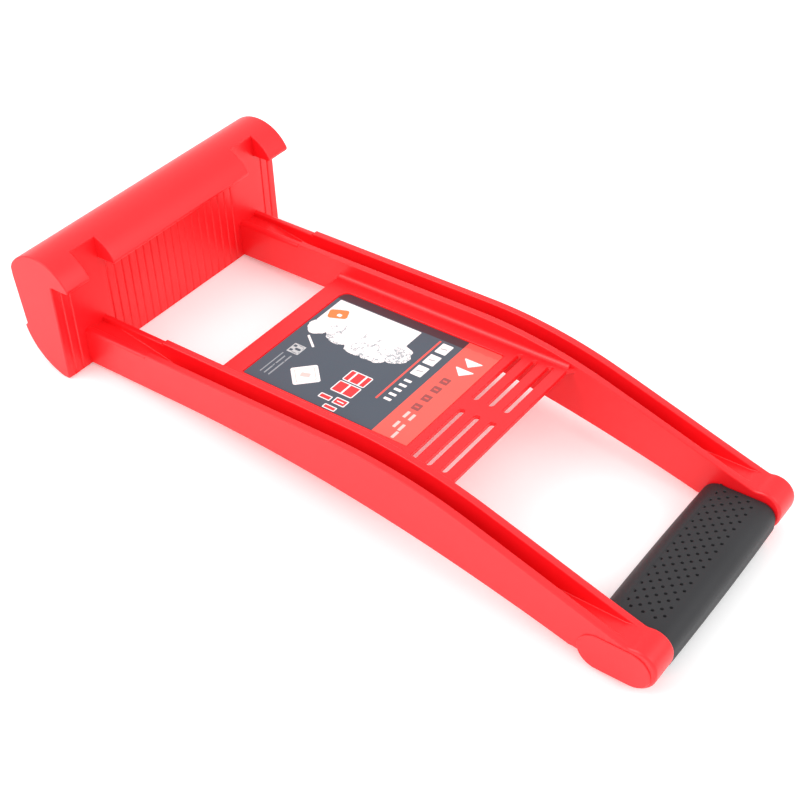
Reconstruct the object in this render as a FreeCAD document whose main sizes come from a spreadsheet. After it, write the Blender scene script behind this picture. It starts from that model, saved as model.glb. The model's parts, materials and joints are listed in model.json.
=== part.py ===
"""Panel carrier: a one-piece moulded hook and handle for carrying sheets of drywall or plywood.

Millimetres.  The pieces are drawn in the rail frame: X runs from the ribbed wall (X = 0) along the
two rails to the grip, Y runs across, and Z = 0 is the flat top of the rails.  The carrier is then
tilted about Y, so that it rests on the edge of its head and on its grip, on the plane Z = 0, with
the origin at the centre of its footprint.

Left is +Y.  The sheet's lower edge stands on the ribbed wall, its back lies on the rails, and the
lips hook round its front.
"""
import FreeCAD, Part
import Sketcher
import math
import os
from types import SimpleNamespace

DRIVING_SIZES = [
    # alias, value, meaning
    ("head_half", 80.0, "half the width of the head"),
    ("end_plate", 3.0, "thickness of the closed ends of the head"),
    ("shelf", 3.0, "thickness of the ribbed wall"),
    ("skin", 2.8, "thickness of the head's cover"),
    ("web", 2.5, "thickness of the webs inside the head"),
    ("web_pitch", 28.5, "distance from web to web"),
    ("crown_x", -8.0, "axis of the head's round top"),
    ("crown_z", 23.8, "axis of the head's round top"),
    ("crown_radius", 21.7, "radius of the head's round top"),
    ("rear_x", -26.7, "upright back of the head"),
    ("rear_z", 29.4, "where the back of the head starts to lean"),
    ("step_x", -23.7, "foot of the leaning back"),
    ("step_z", 2.2, "foot of the leaning back"),
    ("rim_x", -25.2, "rim below the step"),
    ("rim_z", 1.0, "rim below the step"),
    ("sole_radius", 30.0, "round under side of the head"),
    ("sole_x", -4.1, "where the round under side reaches the flat sole"),
    ("sole_z", -21.8, "flat sole of the head"),
    ("gap", 32.0, "clear height from the rails to the lips, for the sheet"),
    ("lip_reach", 11.2, "how far the lips stand out over the sheet"),
    ("lip_nose", 1.4, "radius of the nose of a lip"),
    ("lip_middle", 48.9, "half the width of the middle lip"),
    ("lip_outer", 65.1, "inner edge of an outer lip"),
    ("groove", 1.3, "width of a groove in the ribbed wall"),
    ("groove_depth", 0.5, "depth of a groove"),
    ("groove_pitch", 5.0, "distance from groove to groove"),
    ("groove_row", 45.0, "place of the last groove of the middle row"),
    ("groove_outer", 70.0, "place of the first groove beyond the rails"),
    ("rail_in", 49.2, "inner face of a rail"),
    ("rail_out", 65.0, "outer face of a rail"),
    ("channel_in", 52.9, "inner side of the channel in a rail"),
    ("channel_out", 61.2, "outer side of the channel in a rail"),
    ("rail_drop", 0.8, "step down of the rail tops next to the head"),
    ("notch_x", 40.0, "parting notch across the rail tops"),
    ("notch", 0.8, "width of the parting notch"),
    ("notch_depth", 0.6, "depth of the parting notch"),
    ("bend_x", 150.0, "where the top of a rail starts to bend down"),
    ("bend_radius", 240.0, "radius of that bend"),
    ("bend_angle", 17.8, "slope of the rails behind the bend, in degrees"),
    ("belly_x", 60.0, "where the under side of a rail starts to bend down"),
    ("belly_z", -20.9, "straight under side of a rail"),
    ("belly_radius", 745.0, "radius of the under side of a rail"),
    ("floor", 3.0, "thickness below the channel in a rail"),
    ("channel_start", 3.0, "depth of the channel next to the head"),
    ("channel_flat", 12.0, "length of that shallow stretch"),
    ("channel_ramp", 8.0, "depth of the channel at the parting notch"),
    ("channel_deep_x", 80.0, "where the channel reaches its full depth"),
    ("channel_level_x", 220.0, "where the floor of the channel levels off"),
    ("channel_end_x", 303.5, "where the channel runs out"),
    ("split_x", 271.0, "joint of a rail with its rounded end"),
    ("heel_x", 276.0, "start of the hollow in front of the rounded end"),
    ("heel_radius", 9.0, "radius of that hollow"),
    ("boss_x", 281.4, "where the rounded end swells out"),
    ("boss_radius", 11.5, "radius of the swelling"),
    ("boss_axis", 291.5, "axis of the swelling"),
    ("boss_z", -59.8, "flat under side of the rounded end"),
    ("toe_radius", 13.2, "lower radius of the rounded end"),
    ("end_x", 317.3, "far end of the rails"),
    ("nose_radius", 9.3, "upper radius of the rounded end"),
    ("nose_z", -46.0, "axis of the upper radius"),
    ("pad_low_x", 280.0, "oval pad on the outer face of the rounded end"),
    ("pad_high_x", 315.0, "oval pad on the outer face of the rounded end"),
    ("pad_top", -39.3, "oval pad on the outer face of the rounded end"),
    ("pad_radius", 9.5, "radius of the oval pad"),
    ("pad_height", 0.6, "height of the oval pad"),
    ("panel_low_x", 67.2, "edge of the cross panel toward the head"),
    ("panel_high_x", 205.2, "edge of the cross panel toward the grip"),
    ("panel_top", -9.1, "top of the cross panel"),
    ("panel_thick", 2.5, "thickness of the cross panel"),
    ("cove", 2.6, "fillet from the cross panel up to the rails"),
    ("bevel", 3.0, "bevel in the corners behind the cross panel"),
    ("recess_low_x", 78.0, "label recess"),
    ("recess_high_x", 175.0, "label recess"),
    ("recess_half", 39.8, "half the width of the label recess"),
    ("recess_depth", 0.7, "depth of the label recess"),
    ("recess_corner", 5.0, "radius of the label recess's left corner toward the head"),
    ("recess_tip", 2.0, "radius of its left corner toward the grip"),
    ("recess_right", 1.0, "radius of its corners on the right"),
    ("slot", 3.2, "width of a slot"),
    ("slot_x", 181.2, "first row of slots"),
    ("slot_pitch", 8.4, "distance from row to row"),
    ("slot_near", 4.3, "end of a slot near the middle"),
    ("slot_far", 44.7, "end of a slot near the rail"),
    ("grip_low_x", 278.5, "grip, edge toward the hand gap"),
    ("grip_high_x", 316.2, "grip, far edge"),
    ("grip_low_z", -60.5, "grip, under side"),
    ("grip_high_z", -40.5, "grip, top"),
    ("grip_palm", 9.5, "radius of the grip toward the hand gap"),
    ("grip_back", 8.0, "radius of the grip on its far side"),
    ("grip_wall", 2.0, "thickness of the soft sleeve"),
    ("label", 0.3, "thickness of the label"),
    ("label_play", 0.5, "play of the label in its recess"),
]
SLOT_ROWS = 3
WEBS = 5
EPS = 1e-6


class Dim:
    """A number together with the spreadsheet expression that gives it."""

    def __init__(self, value, text):
        self.value = value
        self.text = text

    def __add__(self, other):
        return Dim(self.value + dim(other).value, f"({self.text} + {dim(other).text})")

    def __sub__(self, other):
        return Dim(self.value - dim(other).value, f"({self.text} - {dim(other).text})")

    def __mul__(self, other):
        return Dim(self.value * dim(other).value, f"({self.text} * {dim(other).text})")

    def __truediv__(self, other):
        return Dim(self.value / dim(other).value, f"({self.text} / {dim(other).text})")

    def __rsub__(self, other):
        return dim(other) - self

    def __neg__(self):
        return dim(0) - self


def dim(number):
    """A plain number as a Dim; a Dim stays as it is."""
    return number if isinstance(number, Dim) else Dim(number, str(number))


def root(length):
    return Dim(math.sqrt(length.value), f"sqrt({length.text})")


def sine(degrees):
    return Dim(math.sin(math.radians(degrees.value)), f"sin({degrees.text})")


def cosine(degrees):
    return Dim(math.cos(math.radians(degrees.value)), f"cos({degrees.text})")


def fill_sheet(doc):
    """Write the driving sizes into a spreadsheet and return them as a namespace of Dims."""
    sheet = doc.addObject("Spreadsheet::Sheet", "Sizes")
    dims = {}
    for row, (alias, value, meaning) in enumerate(DRIVING_SIZES, start=1):
        sheet.set(f"A{row}", meaning)
        sheet.set(f"B{row}", str(value))
        sheet.setAlias(f"B{row}", alias)
        dims[alias] = Dim(value, f"Sizes.{alias}")
    doc.recompute()
    return SimpleNamespace(**dims)


def new_body(name):
    body = doc.addObject("PartDesign::Body", name)
    body.Label = name
    return body


def sketch_on(body, name, role, height):
    """A sketch parallel to one of the body's origin planes, moved by height along its normal."""
    plane = next(item for item in body.Origin.OriginFeatures if item.Role == role)
    sketch = body.newObject("Sketcher::SketchObject", name)
    sketch.AttachmentSupport = [(plane, "")]
    sketch.MapMode = "FlatFace"
    sketch.setExpression("AttachmentOffset.Base.z", dim(height).text)
    return sketch


def arc_between(start, end, radius):
    """The short arc from start to end: anticlockwise if radius is positive, clockwise if negative."""
    middle = (start + end) * 0.5
    chord = end - start
    rise = math.sqrt(max(radius * radius - chord.Length * chord.Length / 4, 0.0))
    aside = FreeCAD.Vector(-chord.y, chord.x, 0).normalize() * math.copysign(rise, radius)
    centre = middle + aside
    first, last = (start, end) if radius > 0 else (end, start)
    low = math.atan2(first.y - centre.y, first.x - centre.x)
    high = math.atan2(last.y - centre.y, last.x - centre.x)
    if high < low:
        high += 2 * math.pi
    circle = Part.Circle(centre, FreeCAD.Vector(0, 0, 1), abs(radius))
    return Part.ArcOfCircle(circle, low, high)


def lock(sketch, kind, *place_and_dim):
    """Add one dimension to a sketch and bind it to its spreadsheet expression."""
    *place, size = place_and_dim
    index = sketch.addConstraint(Sketcher.Constraint(kind, *place, size.value))
    sketch.setExpression(f"Constraints[{index}]", size.text)


def draw_loop(sketch, corners):
    """Draw a closed loop of lines and arcs, anticlockwise, with every corner dimensioned.

    A corner is (x, y), followed by a line, or (x, y, radius), followed by an arc.  A positive radius
    bulges outward and a negative one hollows inward.
    """
    corners = [tuple(dim(number) for number in corner) for corner in corners]
    points = [FreeCAD.Vector(corner[0].value, corner[1].value, 0) for corner in corners]
    count = len(corners)
    ends = []
    for index, corner in enumerate(corners):
        start = points[index]
        end = points[(index + 1) % count]
        if len(corner) == 2:
            edge = sketch.addGeometry(Part.LineSegment(start, end), False)
            ends.append((edge, 1, 2))
        else:
            edge = sketch.addGeometry(arc_between(start, end, corner[2].value), False)
            ends.append((edge, 1, 2) if corner[2].value > 0 else (edge, 2, 1))
    for index, corner in enumerate(corners):
        edge, first, last = ends[index]
        following, its_first, its_last = ends[(index + 1) % count]
        sketch.addConstraint(Sketcher.Constraint("Coincident", edge, last, following, its_first))
        lock(sketch, "DistanceX", edge, first, corner[0])
        lock(sketch, "DistanceY", edge, first, corner[1])
        if len(corner) == 3:
            size = corner[2] if corner[2].value > 0 else -corner[2]
            lock(sketch, "Radius", edge, size)


def slab(body, name, loops, low, high):
    """Pad loops drawn in X and Z from Y = low to Y = high."""
    sketch = sketch_on(body, name + "_outline", "XZ_Plane", -dim(high))
    for corners in loops:
        draw_loop(sketch, corners)
    pad = body.newObject("PartDesign::Pad", name)
    pad.Profile = sketch
    pad.setExpression("Length", (dim(high) - dim(low)).text)
    return pad


def plate(body, name, loops, low, high):
    """Pad loops drawn in X and Y from Z = low to Z = high."""
    sketch = sketch_on(body, name + "_outline", "XY_Plane", low)
    for corners in loops:
        draw_loop(sketch, corners)
    pad = body.newObject("PartDesign::Pad", name)
    pad.Profile = sketch
    pad.setExpression("Length", (dim(high) - dim(low)).text)
    return pad


def cut(body, name, sketch, length):
    """Pocket a sketch against its normal, and check that it takes material away."""
    doc.recompute()
    before = body.Shape.Volume
    pocket = body.newObject("PartDesign::Pocket", name)
    pocket.Profile = sketch
    pocket.setExpression("Length", length.text)
    doc.recompute()
    if not body.Shape.Volume < before - EPS:
        raise ValueError(f"{name} cuts nothing")
    return pocket


def cut_slab(body, name, corners, low, high):
    """Cut a loop drawn in X and Z from Y = low to Y = high."""
    sketch = sketch_on(body, name + "_outline", "XZ_Plane", -dim(low))
    draw_loop(sketch, corners)
    return cut(body, name, sketch, dim(high) - dim(low))


def cut_plate(body, name, loops, high, depth):
    """Cut loops drawn in X and Y downward from Z = high."""
    sketch = sketch_on(body, name + "_outline", "XY_Plane", high)
    for corners in loops:
        draw_loop(sketch, corners)
    return cut(body, name, sketch, depth)


def repeat(body, name, feature, role, span, count):
    """Repeat a feature along one of the body's origin axes, count times over the span."""
    axis = next(item for item in body.Origin.OriginFeatures if item.Role == role)
    pattern = body.newObject("PartDesign::LinearPattern", name)
    pattern.Originals = [feature]
    pattern.Direction = (axis, [""])
    pattern.setExpression("Length", span.text)
    pattern.Occurrences = count
    body.Tip = pattern
    doc.recompute()
    if pattern.Shape.Volume > feature.Shape.Volume - EPS:
        raise ValueError(f"{name} repeats nothing")
    return pattern


def rectangle(low_x, low_y, high_x, high_y):
    return [(low_x, low_y), (high_x, low_y), (high_x, high_y), (low_x, high_y)]


def round_rectangle(low_x, low_y, high_x, high_y, low_radius, high_radius, right_radius=None):
    """A rectangle whose corners are round: low_radius at its low-X end, high_radius at the other.

    If right_radius is given, both corners on the low side of the second direction have that one.
    """
    right_low = right_radius or low_radius
    right_high = right_radius or high_radius
    corners = [
        (low_x + right_low, low_y),
        (high_x - right_high, low_y, right_high),
        (high_x, low_y + right_high),
        (high_x, high_y - high_radius, high_radius),
        (high_x - high_radius, high_y),
        (low_x + low_radius, high_y, low_radius),
        (low_x, high_y - low_radius),
        (low_x, low_y + right_low, right_low),
    ]
    if high_y.value - low_y.value < 2 * high_radius.value + EPS:
        del corners[2]
    if high_y.value - low_y.value < 2 * low_radius.value + EPS:
        del corners[-2]
    return corners


def crown(radius, across):
    """Height of a circle about the axis of the head's round top, at X = across."""
    aside = across - S.crown_x
    return S.crown_z + root(radius * radius - aside * aside)


def belly(across, thickness):
    """Height of the bent under side of a rail at X = across, raised by a thickness."""
    radius = S.belly_radius + thickness
    aside = across - S.belly_x
    return S.belly_z - S.belly_radius + root(radius * radius - aside * aside)


def bend_end():
    """Point where the bend of the rail tops ends and their slope begins."""
    across = S.bend_x + S.bend_radius * sine(S.bend_angle)
    height = S.bend_radius * cosine(S.bend_angle) - S.bend_radius
    return across, height


def slope(across):
    """Height of the sloping stretch of the rail tops at X = across."""
    start_x, start_z = bend_end()
    return start_z - (across - start_x) * sine(S.bend_angle) / cosine(S.bend_angle)


def head_sole():
    """Corners of the head's lower outline, from the step at its back to the flat sole."""
    return [
        (S.step_x, S.step_z),
        (S.rim_x, S.rim_z, S.sole_radius),
        (S.sole_x, S.sole_z),
    ]


def make_head_cover():
    """Round top and leaning back of the head, a skin that is open below."""
    body = new_body("head_cover")
    inner = S.crown_radius - S.skin
    outline = [
        (S.step_x, S.step_z),
        (S.step_x + S.skin, S.step_z),
        (S.rear_x + S.skin, S.rear_z),
        (S.rear_x + S.skin, crown(inner, S.rear_x + S.skin), -inner),
        (dim(0), crown(inner, dim(0))),
        (dim(0), crown(S.crown_radius, dim(0)), S.crown_radius),
        (S.rear_x, crown(S.crown_radius, S.rear_x)),
        (S.rear_x, S.rear_z),
    ]
    slab(body, "cover", [outline], S.end_plate - S.head_half, S.head_half - S.end_plate)
    return body


def make_end_plate(name, side):
    """Closed end of the head."""
    body = new_body(name)
    outline = head_sole() + [
        (dim(0), S.sole_z),
        (dim(0), crown(S.crown_radius, dim(0)), S.crown_radius),
        (S.rear_x, crown(S.crown_radius, S.rear_x)),
        (S.rear_x, S.rear_z),
    ]
    low, high = between(side, S.head_half - S.end_plate, S.head_half)
    slab(body, name + "_plate", [outline], low, high)
    return body


def make_head_web(name, middle):
    """Web inside the head, which joins the cover to the ribbed wall."""
    body = new_body(name)
    inner = S.crown_radius - S.skin
    outline = head_sole() + [
        (-S.shelf, S.sole_z),
        (-S.shelf, crown(inner, -S.shelf), inner),
        (S.rear_x + S.skin, crown(inner, S.rear_x + S.skin)),
        (S.rear_x + S.skin, S.rear_z),
        (S.step_x + S.skin, S.step_z),
    ]
    slab(body, name + "_plate", [outline], middle - S.web / 2, middle + S.web / 2)
    return body


def make_ribbed_wall():
    """Flat wall that the sheet's edge stands on, with grooves against slipping."""
    body = new_body("ribbed_wall")
    inner = S.crown_radius - S.skin
    outline = [
        (-S.shelf, S.sole_z),
        (dim(0), S.sole_z),
        (dim(0), crown(inner, dim(0)), inner),
        (-S.shelf, crown(inner, -S.shelf)),
    ]
    slab(body, "wall", [outline], S.end_plate - S.head_half, S.head_half - S.end_plate)
    height = S.gap - S.sole_z

    def groove(middle):
        return rectangle(-S.groove_depth, middle - S.groove / 2, S.shelf, middle + S.groove / 2)

    beyond = [S.groove_outer, S.groove_outer + S.groove_pitch]
    outer = [groove(place) for place in beyond] + [groove(-place) for place in beyond]
    cut_plate(body, "outer_grooves", outer, S.gap, height)
    first = cut_plate(body, "first_groove", [groove(-S.groove_row)], S.gap, height)
    count = 1 + round(2 * S.groove_row.value / S.groove_pitch.value)
    repeat(body, "groove_row", first, "Y_Axis", S.groove_row * 2, count)
    return body


def make_lip(name, low, high):
    """Lip that hooks round the front of the sheet."""
    body = new_body(name)
    outline = [
        (dim(0), S.gap),
        (S.lip_reach - S.lip_nose, S.gap, S.lip_nose),
        (S.lip_reach, crown(S.crown_radius, S.lip_reach), S.crown_radius),
        (dim(0), crown(S.crown_radius, dim(0))),
    ]
    slab(body, name + "_hook", [outline], low, high)
    return body


def between(side, near, far):
    """The Y range from near to far on the left (side 1) or, mirrored, on the right (side -1)."""
    return (near, far) if side > 0 else (-far, -near)


def make_rail(name, side):
    """Side rail: a channel with an open top, which bends down toward the grip."""
    body = new_body(name)
    start_x, start_z = bend_end()
    half = S.notch / 2
    outline = [
        (dim(0), S.belly_z),
        (S.belly_x, S.belly_z, -S.belly_radius),
        (S.split_x, belly(S.split_x, 0)),
        (S.split_x, slope(S.split_x)),
        (start_x, start_z, S.bend_radius),
        (S.bend_x, dim(0)),
        (S.notch_x + half, dim(0)),
        (S.notch_x + half, -S.rail_drop - S.notch_depth),
        (S.notch_x - half, -S.rail_drop - S.notch_depth),
        (S.notch_x - half, -S.rail_drop),
        (dim(0), -S.rail_drop),
    ]
    slab(body, name + "_beam", [outline], *between(side, S.rail_in, S.rail_out))
    channel = [
        (dim(0), -S.channel_start),
        (S.channel_flat, -S.channel_start),
        (S.notch_x, -S.channel_ramp),
        (S.channel_deep_x, belly(S.channel_deep_x, S.floor), -(S.belly_radius + S.floor)),
        (S.channel_level_x, belly(S.channel_level_x, S.floor)),
        (S.split_x, channel_floor(S.split_x)),
        (S.split_x, S.floor),
        (dim(0), S.floor),
    ]
    cut_slab(body, name + "_channel", channel, *between(side, S.channel_in, S.channel_out))
    return body


def channel_floor(across):
    """Height of the nearly level stretch of the channel's floor at X = across."""
    low_z = belly(S.channel_level_x, S.floor)
    fall = (slope(S.channel_end_x) - low_z) / (S.channel_end_x - S.channel_level_x)
    return low_z + (across - S.channel_level_x) * fall


def make_rail_end(name, side):
    """Rounded end of a rail, which carries the grip, with a low oval pad on its outer face."""
    body = new_body(name)
    nose_x = S.end_x - S.nose_radius
    away = (slope(nose_x) - S.nose_z) * cosine(S.bend_angle)
    half_chord = root(S.nose_radius * S.nose_radius - away * away)
    meet_x = nose_x + away * sine(S.bend_angle) - half_chord * cosine(S.bend_angle)
    boss_aside = S.boss_axis - S.boss_x
    boss_z = S.boss_z + S.boss_radius - root(S.boss_radius * S.boss_radius - boss_aside * boss_aside)
    outline = [
        (S.split_x, belly(S.split_x, 0), -S.belly_radius),
        (S.heel_x, belly(S.heel_x, 0), -S.heel_radius),
        (S.boss_x, boss_z, S.boss_radius),
        (S.boss_axis, S.boss_z),
        (S.end_x - S.toe_radius, S.boss_z, S.toe_radius),
        (S.end_x, S.boss_z + S.toe_radius),
        (S.end_x, S.nose_z, S.nose_radius),
        (meet_x, slope(meet_x)),
        (S.split_x, slope(S.split_x)),
    ]
    slab(body, name + "_block", [outline], *between(side, S.rail_in, S.rail_out))
    channel = [
        (S.split_x, channel_floor(S.split_x)),
        (S.channel_end_x, slope(S.channel_end_x)),
        (S.channel_end_x, slope(S.split_x) + S.floor),
        (S.split_x, slope(S.split_x) + S.floor),
    ]
    cut_slab(body, name + "_channel", channel, *between(side, S.channel_in, S.channel_out))
    oval = round_rectangle(S.pad_low_x, S.pad_top - S.pad_radius * 2, S.pad_high_x, S.pad_top,
                           S.pad_radius, S.pad_radius)
    slab(body, name + "_oval", [oval], *between(side, S.rail_out, S.rail_out + S.pad_height))
    return body


def make_cross_panel():
    """Plate between the rails, with a recess for the label and rows of slots."""
    body = new_body("cross_panel")
    under = S.panel_top - S.panel_thick
    sketch = sketch_on(body, "panel_outline", "YZ_Plane", S.panel_low_x)
    draw_loop(sketch, [
        (-S.rail_in, under),
        (S.rail_in, under),
        (S.rail_in, S.panel_top + S.cove, -S.cove),
        (S.rail_in - S.cove, S.panel_top),
        (S.cove - S.rail_in, S.panel_top, -S.cove),
        (-S.rail_in, S.panel_top + S.cove),
    ])
    pad = body.newObject("PartDesign::Pad", "panel")
    pad.Profile = sketch
    pad.setExpression("Length", (S.panel_high_x - S.panel_low_x).text)
    left_bevel = [
        (S.panel_high_x, S.rail_in - S.bevel),
        (S.panel_high_x + S.bevel, S.rail_in),
        (S.panel_high_x, S.rail_in),
    ]
    right_bevel = [(x, -y) for x, y in reversed(left_bevel)]
    plate(body, "corner_bevels", [left_bevel, right_bevel], under, S.panel_top)
    recess = round_rectangle(S.recess_low_x, -S.recess_half, S.recess_high_x, S.recess_half,
                             S.recess_corner, S.recess_tip, S.recess_right)
    cut_plate(body, "label_recess", [recess], S.panel_top, S.recess_depth)
    half = S.slot / 2
    slots = []
    for near, far in ((S.slot_near, S.slot_far), (-S.slot_far, -S.slot_near)):
        slots.append([
            (S.slot_x - half, near + half, half),
            (S.slot_x, near, half),
            (S.slot_x + half, near + half),
            (S.slot_x + half, far - half, half),
            (S.slot_x, far, half),
            (S.slot_x - half, far - half),
        ])
    first = cut_plate(body, "first_slots", slots, S.panel_top, S.panel_thick)
    repeat(body, "slot_rows", first, "X_Axis", S.slot_pitch * (SLOT_ROWS - 1), SLOT_ROWS)
    return body


def grip_outline(inset):
    """Outline of the grip in X and Z, drawn in by an inset."""
    return round_rectangle(S.grip_low_x + inset, S.grip_low_z + inset,
                           S.grip_high_x - inset, S.grip_high_z - inset,
                           S.grip_palm - inset, S.grip_back - inset)


def make_handle_core():
    """Bar inside the grip, which joins the ends of the rails."""
    body = new_body("handle_core")
    slab(body, "core", [grip_outline(S.grip_wall)], -S.rail_in, S.rail_in)
    return body


def make_grip_sleeve():
    """Soft sleeve round the bar."""
    body = new_body("grip_sleeve")
    slab(body, "sleeve", [grip_outline(dim(0)), grip_outline(S.grip_wall)], -S.rail_in, S.rail_in)
    return body


def make_label_sheet():
    """Printed sheet stuck in the recess of the cross panel."""
    body = new_body("label_sheet")
    low = S.panel_top - S.recess_depth
    outline = round_rectangle(S.recess_low_x + S.label_play, S.label_play - S.recess_half,
                              S.recess_high_x - S.label_play, S.recess_half - S.label_play,
                              S.recess_corner - S.label_play, S.recess_tip - S.label_play,
                              S.recess_right - S.label_play)
    plate(body, "sheet", [outline], low, low + S.label)
    return body


def make_all():
    bodies = [make_head_cover(), make_ribbed_wall()]
    for name, side in (("left", 1), ("right", -1)):
        bodies.append(make_end_plate(name + "_end_plate", side))
        bodies.append(make_lip(name + "_lip", *between(side, S.lip_outer, S.head_half)))
        bodies.append(make_rail(name + "_rail", side))
        bodies.append(make_rail_end(name + "_rail_end", side))
    bodies.append(make_lip("middle_lip", -S.lip_middle, S.lip_middle))
    for number in range(1, WEBS + 1):
        place = S.web_pitch * (number - (WEBS + 1) // 2)
        bodies.append(make_head_web(f"head_web_{number}", place))
    bodies.append(make_cross_panel())
    bodies.append(make_handle_core())
    bodies.append(make_grip_sleeve())
    bodies.append(make_label_sheet())
    return bodies


def resting_tilt():
    """Tilt, in degrees, that brings the edge of the sole and the round of the grip to one height."""
    aside = S.grip_low_x.value + S.grip_palm.value - S.sole_x.value
    drop = S.sole_z.value - (S.grip_low_z.value + S.grip_palm.value)
    reach = math.hypot(aside, drop)
    return math.degrees(math.atan2(drop, aside) + math.asin(S.grip_palm.value / reach))


def stand_on_floor(bodies):
    """Give every piece the one Placement that stands the carrier on the floor, centred."""
    turn = FreeCAD.Placement(FreeCAD.Vector(), FreeCAD.Rotation(FreeCAD.Vector(0, 1, 0), -resting_tilt()))
    box = FreeCAD.BoundBox()
    for body in bodies:
        turned = body.Shape.copy()
        turned.Placement = turn
        box.add(turned.optimalBoundingBox(False, False))
    shift = FreeCAD.Vector(-(box.XMin + box.XMax) / 2, 0, -box.ZMin)
    placement = FreeCAD.Placement(shift, turn.Rotation)
    for body in bodies:
        body.Placement = placement
    print(f"tilt {resting_tilt():.4f} degrees, shift {shift.x:.4f}, {shift.z:.4f} mm")


def check_document():
    """Stop if any object of the document is in error, or any piece has no valid shape."""
    for item in doc.Objects:
        if any(word in item.State for word in ("Invalid", "Error")):
            raise ValueError(f"{item.Name} is in error")
    for body in bodies:
        if body.Shape.isNull() or not body.Shape.isValid():
            raise ValueError(f"{body.Label} has no valid shape")


doc = FreeCAD.newDocument("panel_carrier")
S = fill_sheet(doc)
bodies = make_all()
doc.recompute()
stand_on_floor(bodies)
doc.recompute()
check_document()
os.makedirs("parts", exist_ok=True)
for body in bodies:
    body.Shape.exportStep(f"parts/{body.Label}.step")
    box = body.Shape.BoundBox
    print(f"{body.Label:18s} {len(body.Shape.Solids)} solid, {body.Shape.Volume:9.0f} mm3, "
          f"{box.XLength:6.1f} x {box.YLength:6.1f} x {box.ZLength:5.1f} mm")
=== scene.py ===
"""Panel carrier for drywall and plywood sheets: red moulding, black soft grip and printed label.

Shapes are worked out in the rail frame, in millimetres: X runs along the rails from the ribbed wall
to the grip, Y across, and Z = 0 is the flat top of the rails.  place() carries them to the row
frame, in metres.
"""
import json
import math

import bmesh
import bpy
import numpy as np
from mathutils import Matrix, Vector


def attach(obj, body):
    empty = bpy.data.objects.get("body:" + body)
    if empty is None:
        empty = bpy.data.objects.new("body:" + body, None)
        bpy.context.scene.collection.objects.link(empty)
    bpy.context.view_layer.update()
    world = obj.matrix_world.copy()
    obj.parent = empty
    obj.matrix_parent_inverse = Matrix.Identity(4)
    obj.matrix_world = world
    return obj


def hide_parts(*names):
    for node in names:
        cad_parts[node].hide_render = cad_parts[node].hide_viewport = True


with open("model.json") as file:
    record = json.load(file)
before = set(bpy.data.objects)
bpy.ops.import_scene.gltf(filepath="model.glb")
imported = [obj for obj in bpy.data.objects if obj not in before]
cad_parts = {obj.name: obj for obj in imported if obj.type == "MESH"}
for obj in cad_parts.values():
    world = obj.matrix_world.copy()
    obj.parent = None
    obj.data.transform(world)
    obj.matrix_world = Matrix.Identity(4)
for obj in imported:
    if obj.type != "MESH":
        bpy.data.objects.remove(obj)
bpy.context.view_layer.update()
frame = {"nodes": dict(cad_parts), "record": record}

MM = 0.001

# ---------------------------------------------------------------- the rail frame, from the mounts
mounts = {mount["name"]: mount for mount in frame["record"]["mounts"]}
ALONG = np.array(mounts["sheet_shelf"]["axis"])
ACROSS = np.array([0.0, 1.0, 0.0])
UP = np.array(mounts["sheet_back_left"]["axis"])
AXES = np.stack([ALONG, ACROSS, UP])
ORIGIN = ALONG * (ALONG @ mounts["sheet_shelf"]["pos_m"]) + UP * (UP @ mounts["sheet_back_left"]["pos_m"])


def place(points):
    """Points of the rail frame, in millimetres, as points of the row frame, in metres."""
    return ORIGIN + MM * np.asarray(points, dtype=float) @ AXES


def extent(node):
    """Lowest and highest corner of a CAD node in the rail frame, in millimetres."""
    mesh = frame["nodes"][node].data
    flat = np.empty(3 * len(mesh.vertices))
    mesh.vertices.foreach_get("co", flat)
    points = (flat.reshape(-1, 3) - ORIGIN) @ AXES.T / MM
    return points.min(axis=0), points.max(axis=0)


# ---------------------------------------------------------------- sizes, in millimetres
# read from the CAD solids
(REAR_X, PLATE_IN, SOLE_Z), (_, HEAD_HALF, _) = extent("left_end_plate")
(SHELF_BACK_X, _, _), _ = extent("ribbed_wall")
_, (_, LIP_MIDDLE, _) = extent("middle_lip")
(_, LIP_OUTER, GAP), (LIP_X, _, _) = extent("left_lip")
(_, RAIL_IN, _), (_, RAIL_OUT, _) = extent("left_rail")
(_, _, BOSS_Z), (END_X, _, _) = extent("left_rail_end")
(PANEL_LOW_X, _, PANEL_UNDER), _ = extent("cross_panel")
(GRIP_LOW_X, _, GRIP_LOW_Z), (GRIP_HIGH_X, _, GRIP_HIGH_Z) = extent("grip_sleeve")
(LABEL_LOW_X, _, LABEL_LOW_Z), (LABEL_HIGH_X, LABEL_HALF, LABEL_TOP) = extent("label_sheet")

# rounding of a moulded edge
EDGE = 0.6

# head: middle (x, z) and radius of its round top, and the thickness of its wall
CROWN = np.array([-8.0, 23.8])
CROWN_RADIUS = 21.7
SKIN = 2.8
# back of the head: height where it turns in, that turn's radius, and its foot (x, z)
REAR_Z = 29.4
REAR_TURN = 5.0
STEP = np.array([-23.7, 2.2])
STEP_TURN = 0.6
# end plates: lower rim (x, z), and where the curve from it meets the sole
RIM = np.array([-25.2, 1.0])
RIM_TURN = 0.8
SOLE_X = -4.1
SOLE_RADIUS = 30.0
PLATE_EDGE = 0.7
# lips: radius of the nose and of the corner under it, and the reach in which their sides grow round
LIP_NOSE = 0.85
LIP_ROOT = 0.8
LIP_FADE = 1.5
# grooves of the ribbed wall: pitch, the last one between the rails, the first one past them, depth
GROOVE_PITCH = 5.0
GROOVE_ROW = 45.0
GROOVE_OUTER = 70.0
GROOVE_DEPTH = 0.5

# rails: they start inside the ribbed wall, and lie lower, with rounder edges, up to a notch
RAIL_START = -1.5
RAIL_DROP = 0.8
RAIL_HEAD_EDGE = 1.7
NOTCH_X = 40.0
NOTCH = 0.8
NOTCH_DEPTH = 0.6
NOTCH_SIDE = 0.05
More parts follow.
